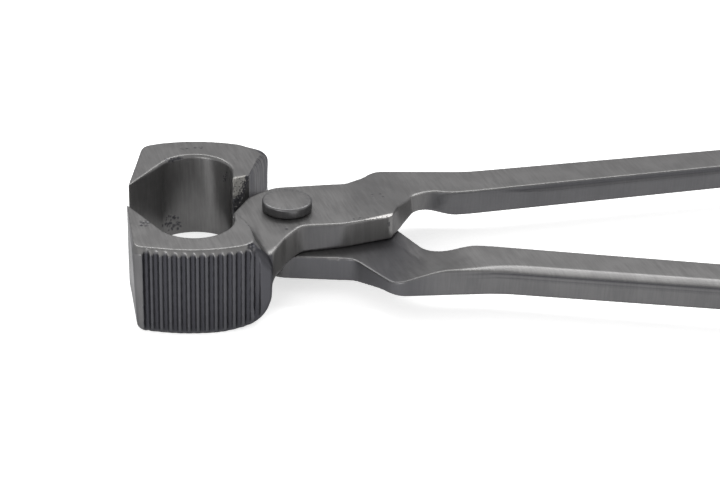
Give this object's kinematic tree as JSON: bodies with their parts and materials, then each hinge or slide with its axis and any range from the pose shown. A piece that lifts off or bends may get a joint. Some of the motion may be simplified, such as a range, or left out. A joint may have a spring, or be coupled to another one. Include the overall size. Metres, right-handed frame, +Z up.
{
  "type": "crossing jaw spreader tongs",
  "caption": "Steel crossing tongs with deep grooved jaws round an open throat, lap plates on a headed rivet and long flat reins.",
  "frame": {"origin": "bottom centre of the bounding box, on the plane that the jaws rest on, with the tongs slightly open", "axes": "+X from the jaws to the rein ends, +Y to the rein of the upper half, +Z up along the rivet"},
  "size_m": [0.355, 0.1544, 0.0275],
  "materials": {
    "upper_steel": "satin ground forging",
    "lower_steel": "satin ground forging",
    "rivet_steel": "satin turned head"
  },
  "bodies": {
    "lower": {"lower_tong_half": "lower_steel", "pivot_rivet": "rivet_steel"},
    "upper": {"upper_tong_half": "upper_steel"}
  },
  "joints": [
    {"name": "pivot_hinge", "type": "hinge", "parent": "lower", "child": "upper", "pos_m": [-0.1271, 0, 0.01375], "axis": [0, 0, 1], "range_deg": [-16, 35]}
  ]
}
